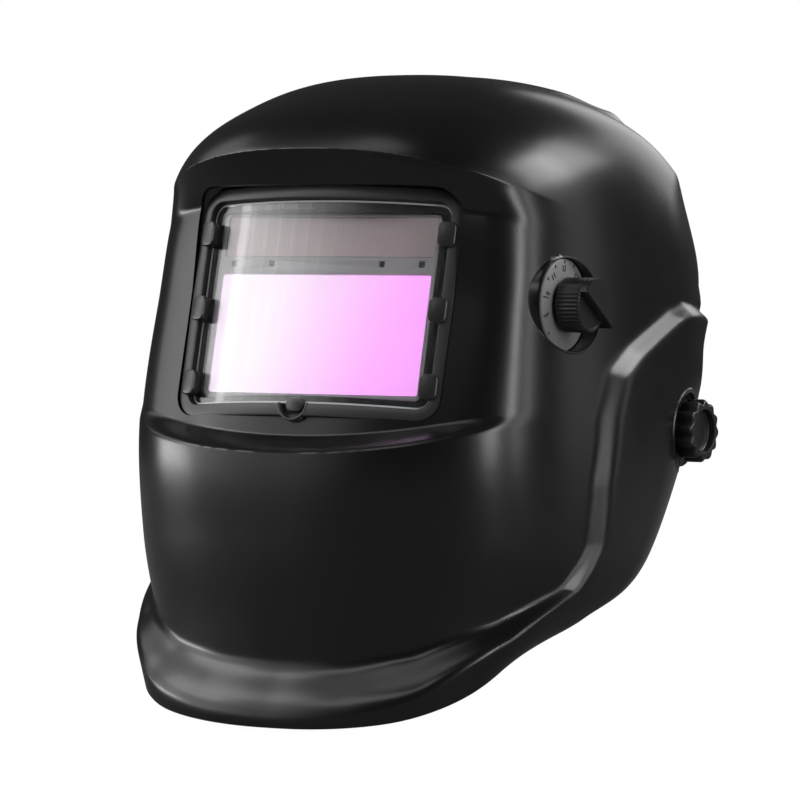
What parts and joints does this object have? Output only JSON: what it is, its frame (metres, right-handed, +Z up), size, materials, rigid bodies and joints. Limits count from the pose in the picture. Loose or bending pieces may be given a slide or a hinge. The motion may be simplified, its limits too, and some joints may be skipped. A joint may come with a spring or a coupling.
{
  "type": "welding helmet",
  "caption": "Black moulded hood with a recessed auto-darkening window, an outside shade knob and tension knobs, tilting on a ratchet headgear.",
  "frame": {"origin": "midpoint of the tilt-pivot axis, where the headgear holds the helmet at the wearer's temples", "axes": "+Z up along the wearer's head, the window faces -Y, the wearer's left and the shade knob are +X"},
  "size_m": [0.2526, 0.2999, 0.2859],
  "materials": {
    "shell": "satin, fine moulded texture",
    "lens_frame": "satin",
    "cover_lens": "clear polycarbonate",
    "cartridge_housing": "satin",
    "circuit_board": "solder mask",
    "lcd_filter": "polished, pink reflecting coating",
    "solar_cell": "polished",
    "arc_sensors": "polished",
    "inner_cover_lens": "clear polycarbonate",
    "cartridge_retainer": "satin",
    "battery_cells": "bright",
    "sensitivity_dial": "satin",
    "delay_dial": "satin",
    "dial_plate": "satin, scale marks",
    "pot_body": "plated",
    "pot_nut": "plated",
    "pot_shaft": "turned",
    "shade_knob": "satin",
    "control_lead": "matt sheath",
    "lead_clip": "satin",
    "pivot_bush_left": "satin",
    "pivot_bush_right": "satin",
    "pivot_bolt_left": "zinc plated",
    "pivot_bolt_right": "zinc plated",
    "spring_washers": "zinc plated",
    "pivot_washers": "satin",
    "tension_knob_left": "satin",
    "tension_knob_right": "satin",
    "knob_insert_left": "turned",
    "knob_insert_right": "turned",
    "tilt_stop_left": "satin",
    "tilt_stop_right": "satin",
    "head_band": "satin",
    "sweatband": "towelling over foam",
    "crown_strap_left": "satin",
    "crown_strap_right": "satin",
    "crown_peg": "satin",
    "ratchet_housing": "satin",
    "ratchet_cover": "satin",
    "ratchet_knob": "satin",
    "pinion": "acetal",
    "tail_left": "satin",
    "tail_right": "satin",
    "rear_pad": "fabric over foam"
  },
  "bodies": {
    "headgear": {"head_band": "head_band", "pivot_bolt_left": "pivot_bolt_left", "pivot_bolt_right": "pivot_bolt_right", "spring_washers": "spring_washers", "tilt_stop_left": "tilt_stop_left", "tilt_stop_right": "tilt_stop_right", "sweatband": "sweatband", "crown_strap_left": "crown_strap_left", "crown_strap_right": "crown_strap_right", "crown_peg": "crown_peg", "ratchet_housing": "ratchet_housing", "ratchet_cover": "ratchet_cover", "rear_pad": "rear_pad"},
    "hood": {"shell": "shell", "lens_frame": "lens_frame", "cover_lens": "cover_lens", "cartridge_housing": "cartridge_housing", "circuit_board": "circuit_board", "lcd_filter": "lcd_filter", "solar_cell": "solar_cell", "arc_sensors": "arc_sensors", "inner_cover_lens": "inner_cover_lens", "cartridge_retainer": "cartridge_retainer", "battery_cells": "battery_cells", "dial_plate": "dial_plate", "pot_body": "pot_body", "pot_nut": "pot_nut", "control_lead": "control_lead", "lead_clip": "lead_clip", "pivot_bush_left": "pivot_bush_left", "pivot_bush_right": "pivot_bush_right", "pivot_washers": "pivot_washers"},
    "left_tension": {"tension_knob_left": "tension_knob_left", "knob_insert_left": "knob_insert_left"},
    "right_tension": {"tension_knob_right": "tension_knob_right", "knob_insert_right": "knob_insert_right"},
    "shade": {"shade_knob": "shade_knob", "pot_shaft": "pot_shaft"},
    "sensitivity": {"sensitivity_dial": "sensitivity_dial"},
    "delay": {"delay_dial": "delay_dial"},
    "ratchet": {"ratchet_knob": "ratchet_knob", "pinion": "pinion"},
    "left_tail": {"tail_left": "tail_left"},
    "right_tail": {"tail_right": "tail_right"}
  },
  "joints": [
    {"name": "hood_tilt", "type": "hinge", "parent": "headgear", "child": "hood", "pos_m": [0, 0, 0], "axis": [-1, 0, 0], "range_deg": [0, 68]},
    {"name": "left_tension_turn", "type": "hinge", "parent": "hood", "child": "left_tension", "pos_m": [0.12, 0, 0], "axis": [1, 0, 0], "continuous": true},
    {"name": "right_tension_turn", "type": "hinge", "parent": "hood", "child": "right_tension", "pos_m": [-0.12, 0, 0], "axis": [-1, 0, 0], "continuous": true},
    {"name": "shade_turn", "type": "hinge", "parent": "hood", "child": "shade", "pos_m": [0.105, -0.0886, 0.058], "axis": [1, 0, 0], "range_deg": [-135, 135]},
    {"name": "sensitivity_turn", "type": "hinge", "parent": "hood", "child": "sensitivity", "pos_m": [-0.028, -0.10109, 0.0871], "axis": [0, 0.9711, -0.2385], "range_deg": [-135, 135]},
    {"name": "delay_turn", "type": "hinge", "parent": "hood", "child": "delay", "pos_m": [0.028, -0.10109, 0.0871], "axis": [0, 0.9711, -0.2385], "range_deg": [-135, 135]},
    {"name": "ratchet_turn", "type": "hinge", "parent": "headgear", "child": "ratchet", "pos_m": [0, 0.11, 0.053], "axis": [0, 1, 0], "range_deg": [-115, 115]},
    {"name": "left_tail_slide", "type": "hinge", "parent": "headgear", "child": "left_tail", "pos_m": [0, 0.016, 0.053], "axis": [0, 0, 1], "range_deg": [-7.9, 7.9]},
    {"name": "right_tail_slide", "type": "hinge", "parent": "headgear", "child": "right_tail", "pos_m": [0, 0.016, 0.053], "axis": [0, 0, 1], "range_deg": [-7.9, 7.9]}
  ],
  "couplings": [
    {"joint": "left_tail_slide", "follows": "ratchet_turn", "ratio": 0.0682},
    {"joint": "right_tail_slide", "follows": "ratchet_turn", "ratio": -0.0682}
  ]
}
